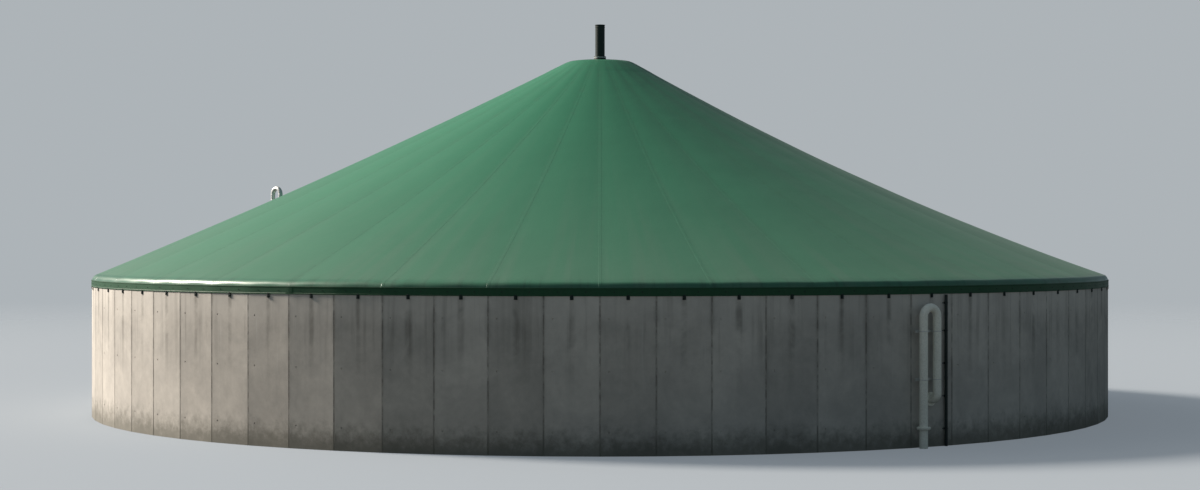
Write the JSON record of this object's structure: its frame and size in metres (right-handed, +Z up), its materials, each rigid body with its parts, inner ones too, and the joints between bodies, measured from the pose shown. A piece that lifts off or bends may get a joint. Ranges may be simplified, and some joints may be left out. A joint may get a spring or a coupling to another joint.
{
  "type": "biogas digester",
  "caption": "Round concrete biogas digester with a conical green membrane roof, dark hem band, crown pipe, swan-neck overflow riser, cable conduit and gas relief valve.",
  "frame": {"origin": "middle of the tank's underside, at ground level", "axes": "+Z up along the centre mast; -Y is the front seen in the picture, +X its right; the overflow riser stands right of the front and the relief valve behind on the left"},
  "size_m": [24.5376, 24.5376, 9.4644],
  "materials": {
    "membrane": "coated fabric, mid green, soft gloss with fine dust",
    "concrete": "fair-faced in-situ concrete, matt, with formwork joints and dirt runs",
    "hem_band": "dark green coating, satin, dusty",
    "dark_steel": "dark green-black paint, satin",
    "galvanized_steel": "hot-dip galvanized, dull grey spangle"
  },
  "bodies": {
    "root": {"wall_panel_01": "concrete", "wall_panel_02": "concrete", "wall_panel_03": "concrete", "wall_panel_04": "concrete", "wall_panel_05": "concrete", "wall_panel_06": "concrete", "wall_panel_07": "concrete", "wall_panel_08": "concrete", "wall_panel_09": "concrete", "wall_panel_10": "concrete", "wall_panel_11": "concrete", "wall_panel_12": "concrete", "wall_panel_13": "concrete", "wall_panel_14": "concrete", "wall_panel_15": "concrete", "wall_panel_16": "concrete", "wall_panel_17": "concrete", "wall_panel_18": "concrete", "wall_panel_19": "concrete", "wall_panel_20": "concrete", "wall_panel_21": "concrete", "wall_panel_22": "concrete", "wall_panel_23": "concrete", "wall_panel_24": "concrete", "floor_slab": "concrete", "roof_membrane": "membrane", "hem_band_1": "hem_band", "hem_band_2": "hem_band", "hem_band_3": "hem_band", "hem_band_4": "hem_band", "hem_band_5": "hem_band", "hem_band_6": "hem_band", "crown_disc": "dark_steel", "crown_collar": "dark_steel", "centre_mast": "dark_steel", "mast_cap": "dark_steel", "cable_conduit": "dark_steel", "overflow_riser": "galvanized_steel", "riser_bracket_lower": "galvanized_steel", "riser_bracket_upper": "galvanized_steel", "relief_valve_body": "galvanized_steel", "relief_valve_vent": "galvanized_steel", "relief_valve_bracket": "galvanized_steel"}
  },
  "joints": []
}
